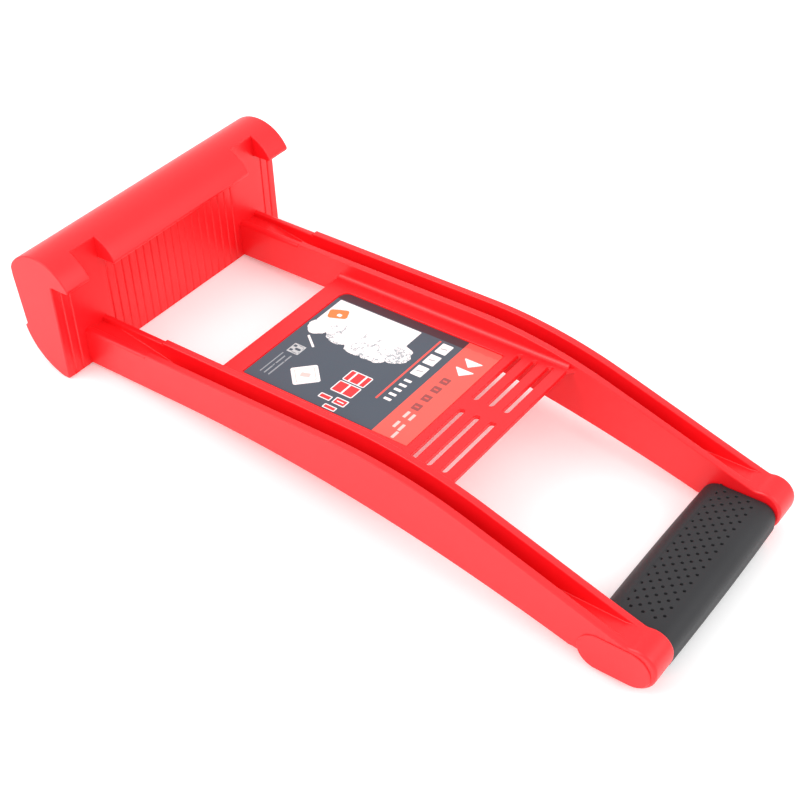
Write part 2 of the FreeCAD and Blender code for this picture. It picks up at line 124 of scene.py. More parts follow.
# bend of the top, and the rounder edges that begin past it
BEND_X = 150.0
BEND_RADIUS = 240.0
BEND_ANGLE = math.radians(17.8)
SLOPE_END_X = 302.0
WIDE_X = 225.0
WIDE_LENGTH = 70.0
WIDE_EDGE = 0.9
WIDE_LIP = 0.5
# curved under side
BELLY_X = 60.0
BELLY_Z = -20.9
BELLY_RADIUS = 745.0
# channel across Y: its two walls, the rounding at their lip and foot, and their draft
CHANNEL_IN = 52.9
CHANNEL_OUT = 61.2
CHANNEL_LIP = 0.6
CHANNEL_FOOT = 0.4
CHANNEL_DRAFT = 0.12
# channel along X: depth by the head and where that ends, depth at the notch, the stretch on which its
# floor is FLOOR thick, and where it runs out into the top
FLOOR = 3.0
CHANNEL_START = 3.0
CHANNEL_FLAT = 12.0
CHANNEL_RAMP = 8.0
CHANNEL_DEEP_X = 80.0
CHANNEL_LEVEL_X = 220.0
CHANNEL_END_X = 303.5
CHANNEL_FADE = 6.0
# rounded end: heel, boss under it, toe and the knob over the grip's axis
HEEL_X = 276.0
HEEL_RADIUS = 9.0
BOSS_RADIUS = 11.5
BOSS_X = 281.4
BOSS_AXIS = 291.5
TOE_RADIUS = 13.2
NOSE_RADIUS = 9.3
NOSE_Z = -46.0
NOSE_FILLET = 5.0
# oval pad on the rounded end's outer face
OVAL_X = (280.0, 315.0)
OVAL_TOP = -39.3
OVAL_RADIUS = 9.5
OVAL_HEIGHT = 0.6
OVAL_EDGE = 0.5
OVAL_BURIED = 0.3

# cross panel: its top and hand edge, the fillets up to the rails and the bevels in its corners
PANEL_HIGH_X = 205.2
PANEL_TOP = -9.1
PANEL_EDGE = 0.45
PANEL_BURIED = 1.0
COVE = 2.6
BEVEL = 3.0
BEVEL_BURIED = 0.2
BEVEL_EDGE = 0.4
# label recess: corners toward the head and toward the grip on the left, and both on the right
RECESS_X = (78.0, 175.0)
RECESS_HALF = 39.8
RECESS_DEPTH = 0.7
RECESS_CORNER = 5.0
RECESS_TIP = 2.0
RECESS_RIGHT = 1.0
RECESS_EDGE = 0.3
LABEL_GAP = 0.5
LABEL_EDGE = 0.08
# slots
SLOT = 3.2
SLOT_X = 181.2
SLOT_PITCH = 8.4
SLOT_ROWS = 3
SLOT_Y = (4.3, 44.7)
SLOT_EDGE = 0.35
# a cutter stands this far off the face that it opens, and then on past it
CLEAR = 0.02
PAST = 1.0

# grip: corner radii toward the palm and the fingers, fullness in the middle, ends and gap to the rails
GRIP_PALM = 9.5
GRIP_BACK = 8.0
GRIP_CROWN = 0.5
GRIP_EDGE = 1.0
GRIP_GAP = 0.15
# dimples, every other column set back by one row; the grid is finer near a dimple's side
DIMPLE_X = 288.3
DIMPLE_PITCH = 2.92
DIMPLE_COLUMNS = 7
DIMPLE_ROW = 2.86
DIMPLE_ROWS = 15
DIMPLE_MIDDLE_Y = 2.3
DIMPLE_RADIUS = 0.8
DIMPLE_DEPTH = 1.3
DIMPLE_GRID = np.array([0, 0.2, 0.4, 0.55, 0.66, 0.76, 0.88, 1.1])


# ---------------------------------------------------------------- outlines, as arrays of (x, z)
def unit(vectors):
    """The same directions at length 1."""
    return vectors / np.maximum(np.linalg.norm(vectors, axis=-1, keepdims=True), 1e-12)


def arc(centre, radius, start, end, steps):
    """Points on a circle, centre + radius * (cos angle, sin angle), between two angles in radians."""
    angle = np.linspace(start, end, steps)
    return np.asarray(centre) + radius * np.stack([np.cos(angle), np.sin(angle)], axis=-1)


def chord_arc(start, end, radius, steps):
    """The short arc of a signed radius between two points; positive bulges right of the direction.

    Its centre stands off the chord's middle by the root of radius^2 - half chord^2.
    """
    start, end = np.asarray(start, dtype=float), np.asarray(end, dtype=float)
    chord = end - start
    rise = math.sqrt(radius * radius - chord @ chord / 4)
    aside = unit(np.array([-chord[1], chord[0]])) * math.copysign(rise, radius)
    centre = (start + end) / 2 + aside
    first = math.atan2(*(start - centre)[::-1])
    last = math.atan2(*(end - centre)[::-1])
    turn = (last - first + math.pi) % (2 * math.pi) - math.pi
    return arc(centre, abs(radius), first, first + turn, steps)


def tidy(path):
    """A closed outline without repeated points."""
    step = np.linalg.norm(path - np.roll(path, 1, axis=0), axis=1)
    return path[step > 1e-4]


def soften(corners, steps=6):
    """Closed outline whose corners (x, z, radius) become arcs tangent to both of their sides.

    An arc's centre is on the bisector, at radius / sin(half the corner's angle), and its points are
    spread evenly in angle between the two tangent points, radius / tan(half) from the corner.
    """
    corners = np.asarray(corners, dtype=float)
    spot, radius = corners[:, :2], corners[:, 2:]
    back = unit(np.roll(spot, 1, axis=0) - spot)
    ahead = unit(np.roll(spot, -1, axis=0) - spot)
    half = np.arccos(np.clip((back * ahead).sum(axis=1, keepdims=True), -1, 1)) / 2
    centre = spot + unit(back + ahead) * radius / np.sin(half)
    start = spot + back * radius / np.tan(half) - centre
    end = spot + ahead * radius / np.tan(half) - centre
    turn = np.maximum(math.pi - 2 * half, 1e-6)[:, None]
    share = np.linspace(0, 1, steps)[None, :, None]
    bow = np.sin((1 - share) * turn) * start[:, None] + np.sin(share * turn) * end[:, None]
    return tidy((centre[:, None] + bow / np.sin(turn)).reshape(-1, 2))


def plain(points):
    """Points of an arc as corners that soften() leaves as they are."""
    return np.hstack([points, np.zeros((len(points), 1))])


def round_rectangle(low, high, low_radius, high_radius, steps=9, right_radius=None):
    """Rectangle with a corner radius for its low end and one for its high end.

    right_radius, where given, takes the place of both at the two corners of low second coordinate.
    """
    (x0, z0), (x1, z1) = low, high
    right_low = right_radius or low_radius
    right_high = right_radius or high_radius
    return tidy(np.vstack([
        arc((x1 - right_high, z0 + right_high), right_high, -math.pi / 2, 0, steps),
        arc((x1 - high_radius, z1 - high_radius), high_radius, 0, math.pi / 2, steps),
        arc((x0 + low_radius, z1 - low_radius), low_radius, math.pi / 2, math.pi, steps),
        arc((x0 + right_low, z0 + right_low), right_low, math.pi, 1.5 * math.pi, steps),
    ]))


def inward(path):
    """Step of unit thickness into a closed anticlockwise outline: the mitre of its two sides."""
    side = unit(np.roll(path, -1, axis=0) - path)
    left = np.stack([-side[:, 1], side[:, 0]], axis=1)
    before = np.roll(left, 1, axis=0)
    return (left + before) / np.maximum(1 + (left * before).sum(axis=1, keepdims=True), 0.6)


# ---------------------------------------------------------------- surfaces
def end_rings(edge, steps=4):
    """Rounding of a prism's end: how far each ring stands from the end, and how far it is drawn in.

    At angle a those are edge (1 - sin a) and edge (1 - cos a); a negative edge flares instead.
    """
    if edge == 0:
        return np.zeros(1), np.zeros(1)
    angle = np.linspace(math.pi / 2, 0, steps)
    return abs(edge) * (1 - np.sin(angle)), edge * (1 - np.cos(angle))


def carry(path, low, high, low_edge=0.0, high_edge=0.0, steps=4):
    """Rounded prism: rings of an outline from low to high, as points (outline, ring, (a, b, carried)).

    A ring near an end is the outline moved along its mitres by that ring's share of end_rings().
    """
    low_short, low_in = end_rings(low_edge, steps)
    high_short, high_in = end_rings(high_edge, steps)
    level = np.concatenate([low + low_short, (high - high_short)[::-1]])
    drawn = np.concatenate([low_in, high_in[::-1]])
    flat = path[:, None] + inward(path)[:, None] * drawn[None, :, None]
    return np.dstack([flat, np.broadcast_to(level, flat.shape[:2])])


def along_y(points):
    """An outline in X and Z that was carried along Y."""
    return points[..., [0, 2, 1]]


def along_x(points):
    """An outline in Y and Z that was carried along X."""
    return points[..., [2, 0, 1]]


def shut(points):
    """Mesh of a grid of points that closes on itself in its first direction, with a cap at each end."""
    rows, columns = points.shape[:2]
    number = np.arange(rows * columns).reshape(rows, columns)
    after = np.roll(number, -1, axis=0)
    quads = np.stack([number[:, :-1], after[:, :-1], after[:, 1:], number[:, 1:]], axis=-1)
    faces = quads.reshape(-1, 4).tolist() + [number[::-1, 0].tolist(), number[:, -1].tolist()]
    mesh = bpy.data.meshes.new("surface")
    mesh.from_pydata(place(points.reshape(-1, 3)).tolist(), [], faces)
    whole = bmesh.new()
    whole.from_mesh(mesh)
    bmesh.ops.remove_doubles(whole, verts=whole.verts, dist=2e-7)
    whole.to_mesh(mesh)
    whole.free()
    return outward(mesh)


def outward(mesh):
    """A closed mesh turned right side out, so that the sum of its triangles' triple products is positive."""
    mesh.calc_loop_triangles()
    corner = np.empty(3 * len(mesh.vertices))
    mesh.vertices.foreach_get("co", corner)
    triangle = np.empty(3 * len(mesh.loop_triangles), dtype=int)
    mesh.loop_triangles.foreach_get("vertices", triangle)
    a, b, c = (corner.reshape(-1, 3)[triangle.reshape(-1, 3)[:, i]] for i in range(3))
    if np.einsum("ij,ij->i", a, np.cross(b, c)).sum() < 0:
        mesh.flip_normals()
    return mesh


def carve(mesh, cutters):
    """The mesh with each closed cutter taken away."""
    body = bpy.data.objects.new("body", mesh)
    bpy.context.scene.collection.objects.link(body)
    helpers = []
    for number, cutter in enumerate(cutters):
        helper = bpy.data.objects.new(f"cutter_{number}", cutter)
        bpy.context.scene.collection.objects.link(helper)
        helpers.append(helper)
        cut = body.modifiers.new(f"cut_{number}", "BOOLEAN")
        cut.operation = "DIFFERENCE"
        cut.solver = "EXACT"
        cut.object = helper
    bpy.context.view_layer.update()
    depsgraph = bpy.context.evaluated_depsgraph_get()
    result = bpy.data.meshes.new_from_object(body.evaluated_get(depsgraph))
    for item in [body, *helpers]:
        bpy.data.objects.remove(item)
    return result


def piece(name, mesh, material, nodes, smooth=38.0):
    """A finished piece, smooth up to an angle in degrees, which stands for its CAD nodes."""
    mesh.name = name
    mesh.materials.clear()
    mesh.materials.append(material)
    mesh.polygons.foreach_set("use_smooth", np.ones(len(mesh.polygons), dtype=bool))
    mesh.set_sharp_from_angle(angle=math.radians(smooth))
    item = bpy.data.objects.new(name, mesh)
    bpy.context.scene.collection.objects.link(item)
    weight = item.modifiers.new("flat_faces", "WEIGHTED_NORMAL")
    weight.keep_sharp = True
    weight.weight = 100
    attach(item, "root")
    if nodes:
        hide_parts(*nodes)
    return item


# ---------------------------------------------------------------- materials
class Wire:
    """A shader value: arithmetic on it adds Math nodes to its tree."""

    def __init__(self, paint, socket):
        self.paint = paint
        self.socket = socket

    def math(self, operation, *others):
        return self.paint.node("ShaderNodeMath", {"operation": operation}, [self, *others])

    def __add__(self, other):
        return self.math("ADD", other)

    def __sub__(self, other):
        return self.math("SUBTRACT", other)

    def __mul__(self, other):
        return self.math("MULTIPLY", other)

    def __lt__(self, other):
        return self.math("LESS_THAN", other)

    def __gt__(self, other):
        return self.math("GREATER_THAN", other)

    def __rsub__(self, other):
        return self.paint.node("ShaderNodeMath", {"operation": "SUBTRACT"}, [other, self])

    __radd__ = __add__
    __rmul__ = __mul__


class Paint:
    """The node tree of one material, round its Principled shader."""

    def __init__(self, name, **constants):
        self.material = bpy.data.materials.new(name)
        self.material.use_nodes = True
        self.tree = self.material.node_tree
        self.shader = self.tree.nodes["Principled BSDF"]
        for socket, value in constants.items():
            self.shader.inputs[socket.replace("_", " ")].default_value = value

    def node(self, kind, settings=(), sockets=(), output=0):
        """Any node: its settings are made first, then its sockets take values or wires."""
        made = self.tree.nodes.new(kind)
        for key, value in dict(settings).items():
            setattr(made, key, value)
        pairs = sockets.items() if isinstance(sockets, dict) else enumerate(sockets)
        for key, value in pairs:
            if isinstance(value, Wire):
                self.tree.links.new(value.socket, made.inputs[key])
            else:
                made.inputs[key].default_value = value
        return Wire(self, made.outputs[output])

    def feed(self, **sockets):
        """Link wires to the shader's own sockets."""
        for name, wire in sockets.items():
            self.tree.links.new(wire.socket, self.shader.inputs[name.replace("_", " ")])

    def spot(self):
        """Object coordinates."""
        return self.node("ShaderNodeTexCoord", output=3)

    def noise(self, scale, detail=2.0, roughness=0.5):
        """Noise in 0 to 1 whose grains are about 1 / scale metres wide."""
        sockets = {"Vector": self.spot(), "Scale": scale, "Detail": detail, "Roughness": roughness}
        return self.node("ShaderNodeTexNoise", {}, sockets)

    def blend(self, share, low, high):
        """Mix of two colours, or of two wires that carry colours."""
        sockets = {0: share, 6: low, 7: high}
        return self.node("ShaderNodeMix", {"data_type": "RGBA"}, sockets, output=2)

    def bump(self, height, distance, strength):
        """Normal of a surface raised by height times a distance in metres."""
        sockets = {"Height": height, "Distance": distance, "Strength": strength}
        return self.node("ShaderNodeBump", {}, sockets)


def colour(red, green, blue):
    """An sRGB colour in 0 to 255 as a linear one."""
    share = np.array([red, green, blue]) / 255
    linear = np.where(share <= 0.04045, share / 12.92, ((share + 0.055) / 1.055) ** 2.4)
    return (*linear.tolist(), 1.0)


def moulding_material():
    """Glossy red plastic with a fine moulded grain, slow flow marks and a little cloudiness."""
    paint = Paint("red_moulding", IOR=1.5)
    cloud = paint.noise(28.0, 3.0)
    paint.feed(Base_Color=paint.blend(cloud, colour(240, 16, 26), colour(246, 24, 32)))
    grain = paint.noise(2600.0, 2.0)
    paint.feed(Roughness=0.30 + 0.10 * cloud + 0.06 * grain)
    flow = paint.noise(60.0, 1.0)
    paint.feed(Normal=paint.bump(grain * 0.02 + flow * 0.5, 0.0004, 0.35))
    return paint.material


def grip_material():
    """Black soft plastic with a matt grain."""
    paint = Paint("black_grip", IOR=1.47)
    grain = paint.noise(3200.0, 3.0)
    cloud = paint.noise(45.0, 2.0)
    paint.feed(Base_Color=paint.blend(cloud, colour(30, 30, 33), colour(38, 38, 41)))
    paint.feed(Roughness=0.48 + 0.12 * grain)
    paint.feed(Normal=paint.bump(grain, 0.00008, 0.5))
    return paint.material


class Print:
    """Flat artwork on a ground, in label coordinates: u along the rails and v across, in millimetres."""

    def __init__(self, paint, ground):
        self.paint = paint
        self.spot = paint.spot()
        self.u = self.run(ALONG) - float(ALONG @ ORIGIN / MM)
        self.v = self.run(ACROSS)
        self.ink = ground

    def run(self, axis):
        """Millimetres along an axis: the dot product of the place and the axis."""
        sockets = [self.spot, tuple(axis / MM)]
        return self.paint.node("ShaderNodeVectorMath", {"operation": "DOT_PRODUCT"}, sockets, output=1)

    def block(self, u, v, half_u, half_v, corner=0.5, turn=0.0, wobble=None):
        """Mask of a rounded block, turned by an angle in degrees about its middle.

        A point is inside when its distance to the block shrunk by the corner radius is less than
        that radius.  A wobble, a value that varies about 1, makes the edge uneven.
        """
        cos, sin = math.cos(math.radians(turn)), math.sin(math.radians(turn))
        aside_u, aside_v = self.u - u, self.v - v
        if turn:
            aside_u, aside_v = aside_u * cos + aside_v * sin, aside_v * cos - aside_u * sin
        over_u = (aside_u.math("ABSOLUTE") - (half_u - corner)).math("MAXIMUM", 0.0)
        over_v = (aside_v.math("ABSOLUTE") - (half_v - corner)).math("MAXIMUM", 0.0)
        away = over_u * over_u + over_v * over_v
        return away < (corner ** 2 if wobble is None else wobble * corner ** 2)

    def put(self, mask, tint, strength=1.0):
        """Print a colour where a mask is 1."""
        self.ink = self.paint.blend(mask * strength, self.ink, tint)


SLATE = colour(66, 74, 86)
CORAL = colour(243, 84, 74)
WHITE = colour(250, 240, 240)
PALE = colour(246, 196, 190)
GREY = colour(168, 172, 176)
BAND_U = 155.0
# v past which a painted reflection of the left rail tints the label
RAIL_REFLECTION_V = 33.6


def print_sheet(art, wave):
    """White sheet as a sketch with a wavy lower edge and grey strokes, an orange block and a short bar."""
    rough = art.paint.noise(95.0, 4.0, 0.7)
    sketch = art.block(106.0, 23.0, 25.0, 10.0, 0.6)
    for u, v, size in [(100.0, 11.0, 9.0), (112.0, 8.5, 8.0), (122.0, 10.0, 9.5), (131.0, 12.0, 7.5),
                       (86.0, 9.0, 6.0)]:
        sketch = sketch.math("MAXIMUM", art.block(u, v, size, size, size, wobble=0.45 + 1.1 * wave))
    art.put(sketch, WHITE)
    strokes = ((rough - 0.5).math("ABSOLUTE") < 0.018) * (art.v < 17.0) * (art.u > 92.0) * sketch
    art.put(strokes, GREY)
    art.put(art.block(87.5, 22.5, 5.0, 3.6, 1.6, 24.0, wobble=0.5 + wave), colour(226, 128, 60))
    art.put(art.block(88.5, 22.0, 1.3, 1.1, 0.8), WHITE)
    art.put(art.block(90.0, -2.5, 5.2, 0.6, 0.5, -38.0), WHITE)


def print_diamond(art):
    """White diamond with a pale outline and a pale block in it."""
    middle = (104.6, -24.7)
    for half, corner, tint in [(6.6, 1.2, WHITE), (4.9, 0.6, PALE), (4.5, 0.6, WHITE)]:
        art.put(art.block(*middle, half, half, corner, 45.0), tint)
    art.put(art.block(*middle, 2.4, 1.5, 0.4, 20.0), PALE)


def print_tiles(art):
    """Red tiles with white outlines, two large and three small, and white bars across three of them."""
    rim = 0.6
    for u, v, half_u, half_v, corner in [
            (127.2, -13.4, 6.4, 4.2, 1.0), (127.2, -22.6, 6.4, 4.2, 1.0),
            (122.6, -32.2, 3.4, 1.7, 0.5), (131.0, -31.6, 3.6, 2.4, 0.5), (129.2, -37.4, 3.6, 1.5, 0.5)]:
        art.put(art.block(u, v, half_u, half_v, corner), WHITE)
        inside = art.block(u, v, half_u - rim, half_v - rim, max(corner - rim, 0.2))
        art.put(inside, colour(226, 44, 48))
    for u, v, half_u, half_v in [
            (124.4, -13.4, 0.5, 3.6), (130.0, -13.4, 0.5, 3.6), (127.2, -22.6, 0.5, 3.6),
            (131.0, -31.6, 2.0, 0.35)]:
        art.put(art.block(u, v, half_u, half_v, 0.3), WHITE)


def print_checks(art, wave):
    """Small grey square of checks, from two sine waves, and a block of fine lines beside it."""
    art.put(art.block(88.2, -11.4, 3.5, 3.6, 0.5), colour(190, 190, 192))
    checks = ((art.u * 0.9).math("SINE") * (art.v * 1.8).math("SINE")) > 0.1
    art.put(art.block(88.2, -11.4, 2.9, 3.0, 0.2) * checks, SLATE)
    lines = ((art.u * 2.4).math("SINE") > 0.55) * (wave > 0.42)
    art.put(art.block(87.4, -25.6, 3.2, 8.6, 0.2) * lines, GREY, 0.7)


def print_rule(art):
    """Coral rule with tiles and short bars beside it."""
    art.put(art.block(142.7, 6.3, 0.55, 26.2, 0.2), CORAL)
    for v in (27.9, 17.8, 7.8):
        art.put(art.block(147.8, v, 3.1, 3.9, 0.5), WHITE)
        art.put(art.block(147.8, v, 1.7, 0.4, 0.2, 12.0), SLATE, 0.6)
    for v in (-1.4, -5.4, -9.4, -13.4, -17.4):
        art.put(art.block(147.6, v, 2.0, 0.85, 0.3), WHITE)


def print_band(art, cloud, wave):
    """Coral band with two plain arrowheads, brown tiles and pale bars, and a painted reflection of the left
    rail: a maroon strip over the slate and a redder strip over the coral along that edge.
    """
    band = art.u > BAND_U
    art.put(band, CORAL)
    art.put(band * cloud, colour(250, 104, 92), 0.7)
    for v in (27.6, 20.0):
        art.put(art.block(165.2, v, 3.6, 3.6, 0.3, 45.0) * (art.v < v + 0.4), WHITE)
    for v in (7.9, 0.6, -7.0, -14.6):
        art.put(art.block(162.4, v, 2.2, 2.4, 0.4), colour(140, 66, 66), 0.9)
        art.put(art.block(162.4, v, 1.2, 0.5, 0.2), CORAL, 0.8)
    for u, v in [(161.6, -21.6), (165.0, -22.0), (161.8, -29.6), (165.2, -30.4), (165.6, -36.0)]:
        art.put(art.block(u, v, 0.8, 2.4, 0.3), PALE)
    # painted reflection of the left rail: maroon over the slate, and a redder coral with a noise-wavy edge
    # over the band
    art.put((art.v > RAIL_REFLECTION_V) * (1 - band), colour(66, 20, 34), 0.93)
    art.put((art.v > RAIL_REFLECTION_V + 3 * wave) * band, colour(246, 60, 54), 0.6)


def label_material():
    """Glossy printed film: slate field, coral band, a sketched sheet and plain signs, with no lettering."""
    paint = Paint("label_print", IOR=1.5)
    cloud = paint.noise(22.0, 2.0)
    wave = paint.noise(170.0, 3.0, 0.6)
    art = Print(paint, paint.blend(cloud, SLATE, colour(74, 82, 94)))
    print_sheet(art, wave)
    print_diamond(art)
    print_tiles(art)
    print_checks(art, wave)
    print_rule(art)
    print_band(art, cloud, wave)
    paint.feed(Base_Color=art.ink)
    paint.feed(Roughness=0.28 + 0.1 * cloud + 0.05 * wave)
    ripple = paint.noise(38.0, 1.0)
    paint.feed(Normal=paint.bump(ripple, 0.0006, 0.25))
    return paint.material


RED = moulding_material()
BLACK = grip_material()
PRINT = label_material()


# ---------------------------------------------------------------- head
def crown_angle(x):
    """Angle on the circle of the head's round top at X = x."""
    return math.acos((x - CROWN[0]) / CROWN_RADIUS)


def crown_top(x):
    """Height of that circle at X = x."""
    return CROWN[1] + math.sqrt(CROWN_RADIUS ** 2 - (x - CROWN[0]) ** 2)


def head_front():
    """Corners from the top of the ribbed wall out under the lip, round its nose and back over the crown.

    The circle stops short of the nose and of the back, which straight lines reach from it.
    """
    nose_short = 1.0
    nose_lean = 0.2
    back_short = 1.2
    back_down = 2.5
    over = arc(CROWN, CROWN_RADIUS, crown_angle(LIP_X - nose_short), crown_angle(REAR_X + back_short), 44)
    return [
        [0, GAP, LIP_ROOT],
        [LIP_X - nose_lean, GAP, LIP_NOSE],
        [LIP_X, crown_top(LIP_X), LIP_NOSE],
        *plain(over),
        [REAR_X, crown_top(REAR_X + back_short) - back_down, 0],
        [REAR_X, REAR_Z, REAR_TURN],
    ]


def head_shell():
    """Ribbed wall, lips, round top and leaning back of the head: one thin wall, open below.

    The outline (x, z) runs up the wall, round the lip, over the crown, down the back, and home along
    the inner side.  Each column is that outline at one Y.  At a notch between two lips, the points
    in front of the wall are laid on the wall, spread evenly by their distance along the lip.  Near a
    lip's side they are drawn in as on a rounded edge, and a groove sets the wall back by its depth.
    """
    inner = CROWN_RADIUS - SKIN
    inner_x = REAR_X + SKIN
    inner_angle = [math.acos((x - CROWN[0]) / inner) for x in (inner_x, SHELF_BACK_X)]
    sole_turn = 0.5
    inner_turn = 3.0
    path = soften([
        [0, SOLE_Z, sole_turn],
        *head_front(),
        [*STEP, STEP_TURN],
        [STEP[0] + SKIN, STEP[1], STEP_TURN],
        [inner_x, REAR_Z, inner_turn],
        *plain(arc(CROWN, inner, *inner_angle, 24)),
        [SHELF_BACK_X, SOLE_Z, sole_turn],
    ])
    front = (path[:, 0] > 1e-6) & (path[:, 1] > GAP - 1)
    wall = (np.abs(path[:, 0]) < 1e-6) & (path[:, 1] < GAP - 0.5)
    reach = np.cumsum(np.linalg.norm(path - np.roll(path, 1, axis=0), axis=1))
    first, last = np.flatnonzero(front)[[0, -1]]
    share = np.clip((reach - reach[first - 1]) / (reach[last + 1] - reach[first - 1]), 0, 1)
    low_z, high_z = path[first - 1, 1], path[last + 1, 1]
    laid = np.stack([0 * share, low_z + share * (high_z - low_z)], axis=1)

    # half of a groove from its middle: offset in Y and share of its depth
    half_groove = [(0.2, 1), (0.4, 0.8), (0.6, 0.35), (0.8, 0)]
    groove = [(-offset, depth) for offset, depth in half_groove[::-1]] + half_groove
    short, drawn = end_rings(EDGE, 5)

    def grooves(middles, profile=groove):
        return [(middle + offset, 0, 0, GROOVE_DEPTH * depth)
                for middle in middles for offset, depth in profile]

    # columns of the left half: Y, how far drawn in, 1 between two lips, and the groove's depth
    columns = grooves([0], half_groove)
    columns += grooves(np.arange(GROOVE_PITCH, GROOVE_ROW + 1, GROOVE_PITCH))
    columns += [(LIP_MIDDLE - away, inset, 0, 0) for away, inset in zip(short[::-1], drawn[::-1])]
    columns += [(LIP_MIDDLE, 0, 1, 0), (LIP_OUTER, 0, 1, 0)]
    columns += [(LIP_OUTER + away, inset, 0, 0) for away, inset in zip(short, drawn)]
    columns += grooves([GROOVE_OUTER, GROOVE_OUTER + GROOVE_PITCH])
    columns += [(PLATE_IN, 0, 0, 0)]
    half = np.array(columns)
    level, drawn_in, notched, depth = np.vstack([half[::-1] * [-1, 1, 1, 1], half]).T

    soft = np.clip(path[:, :1] / LIP_FADE, 0, 1) * front[:, None]
    shape = path[:, None] + (inward(path) * soft)[:, None] * drawn_in[None, :, None]
    shape = np.where((front[:, None] & (notched > 0.5))[..., None], laid[:, None], shape)
    shape[..., 0] -= wall[:, None] * depth
    return shut(along_y(np.dstack([shape, np.broadcast_to(level, shape.shape[:2])])))


def end_plate(side):
    """Closed end of the head, rounded on its outer edge."""
    path = soften([
        [0, SOLE_Z, RIM_TURN],
        *head_front(),
        [*STEP, STEP_TURN],
        [*RIM, RIM_TURN],
        *plain(chord_arc(RIM + [0.05, -RIM_TURN], (SOLE_X, SOLE_Z), SOLE_RADIUS, 20)),
    ])
    points = along_y(carry(path, PLATE_IN, HEAD_HALF, 0, PLATE_EDGE, 5))
    return shut(points * [1, side, 1])


# ---------------------------------------------------------------- rails
def belly(x, thick=0.0):
    """Height of the curved under side of a rail, raised by a thickness.

    It is level up to BELLY_X, and then a circle whose middle is BELLY_RADIUS straight below.
    """
    along = np.maximum(np.asarray(x) - BELLY_X, 0)
    return BELLY_Z - BELLY_RADIUS + np.sqrt((BELLY_RADIUS + thick) ** 2 - along ** 2)


BEND_END = np.array([BEND_X + BEND_RADIUS * math.sin(BEND_ANGLE), BEND_RADIUS * (math.cos(BEND_ANGLE) - 1)])


def slope(x):
    """Height of a rail's straight top past its bend."""
    return BEND_END[1] - (np.asarray(x) - BEND_END[0]) * math.tan(BEND_ANGLE)


def rail_end_top():
    """Knob over the grip's axis and the hollow that leads from it to the sloping top, as two arcs.

    The hollow's circle touches the slope from above and the knob from outside, so its centre is
    NOSE_FILLET above the slope and NOSE_RADIUS + NOSE_FILLET from the knob's axis.
    """
    axis = np.array([END_X - NOSE_RADIUS, NOSE_Z])
    uphill = np.array([-math.cos(BEND_ANGLE), math.sin(BEND_ANGLE)])
    square = np.array([math.sin(BEND_ANGLE), math.cos(BEND_ANGLE)])
    away = (float(slope(axis[0])) - NOSE_Z) * math.cos(BEND_ANGLE)
    reach = math.sqrt((NOSE_RADIUS + NOSE_FILLET) ** 2 - (NOSE_FILLET + away) ** 2)
    toward = uphill * reach + square * (away + NOSE_FILLET)
    turn = math.atan2(toward[1], toward[0])
    knob = arc(axis, NOSE_RADIUS, 0, turn, 20)
    hollow = chord_arc(knob[-1], axis + uphill * reach + square * away, -NOSE_FILLET, 7)
    return knob, hollow[1:]


def rail_outline():
    """Outline (x, z) of a rail with its rounded end, and which of its points are on its top.

    It runs along the under side from the head, over the arcs of heel, boss and toe, round the knob,
    and back up the straight slope and the arc of the bend to the flat top.  Points are closer
    together on both sides of the notch and toward the grip.
    """
    belly_x = np.linspace(BELLY_X, HEEL_X, 44)
    boss_z = BOSS_Z + BOSS_RADIUS - math.sqrt(BOSS_RADIUS ** 2 - (BOSS_AXIS - BOSS_X) ** 2)
    knob, hollow = rail_end_top()
    half = NOTCH / 2
    notch_x = [NOTCH_X + half + 0.05, NOTCH_X + half - 0.1, NOTCH_X - half + 0.1, NOTCH_X - half - 0.05]
    start_x = [CHANNEL_FLAT, 6.0, 0.5, RAIL_START]
    flat_x = np.concatenate([np.arange(BEND_X - 6, NOTCH_X + 2, -6.0), notch_x,
                             np.arange(NOTCH_X - 2, CHANNEL_FLAT, -4.0), start_x])
    close_x = SLOPE_END_X - 22.0
    slope_x = np.concatenate([np.arange(SLOPE_END_X, close_x, -1.5),
                              np.arange(close_x, BEND_END[0] + 1, -4.0)])
    under = np.vstack([
        [[RAIL_START, BELLY_Z]],
        np.stack([belly_x, belly(belly_x)], axis=1),
        chord_arc((HEEL_X, float(belly(HEEL_X))), (BOSS_X, boss_z), -HEEL_RADIUS, 7)[1:],
        chord_arc((BOSS_X, boss_z), (BOSS_AXIS, BOSS_Z), BOSS_RADIUS, 9)[1:],
        arc((END_X - TOE_RADIUS, BOSS_Z + TOE_RADIUS), TOE_RADIUS, -math.pi / 2, 0, 17),
        knob,
        hollow,
    ])
    top = np.vstack([
        np.stack([slope_x, slope(slope_x)], axis=1),
        arc((BEND_X, -BEND_RADIUS), BEND_RADIUS, math.pi / 2 - BEND_ANGLE, math.pi / 2, 22),
        np.stack([flat_x, 0 * flat_x], axis=1),
    ])
    path = np.vstack([under, top])
    return path, np.arange(len(path)) >= len(under)


def rail_sink(x):
    """How far the top lies below Z = 0 at X = x: RAIL_DROP up to the notch, and nothing past it."""
    half = NOTCH / 2
    notch = [NOTCH_X - half, NOTCH_X - half + NOTCH_SIDE, NOTCH_X + half - NOTCH_SIDE, NOTCH_X + half]
    return np.interp(x, notch, [RAIL_DROP, RAIL_DROP + NOTCH_DEPTH, RAIL_DROP + NOTCH_DEPTH, 0])


def channel_floor(x):
    """Height of the channel's floor at X = x: straight ramps at both ends, FLOOR over the belly between."""
    reach_x = np.linspace(CHANNEL_DEEP_X, CHANNEL_LEVEL_X, 40)
    floor_x = np.concatenate([[RAIL_START, CHANNEL_FLAT, NOTCH_X], reach_x, [CHANNEL_END_X]])
    floor_z = np.concatenate([[-CHANNEL_START, -CHANNEL_START, -CHANNEL_RAMP], belly(reach_x, FLOOR),
                              [float(slope(CHANNEL_END_X))]])
    return np.interp(x, floor_x, floor_z)


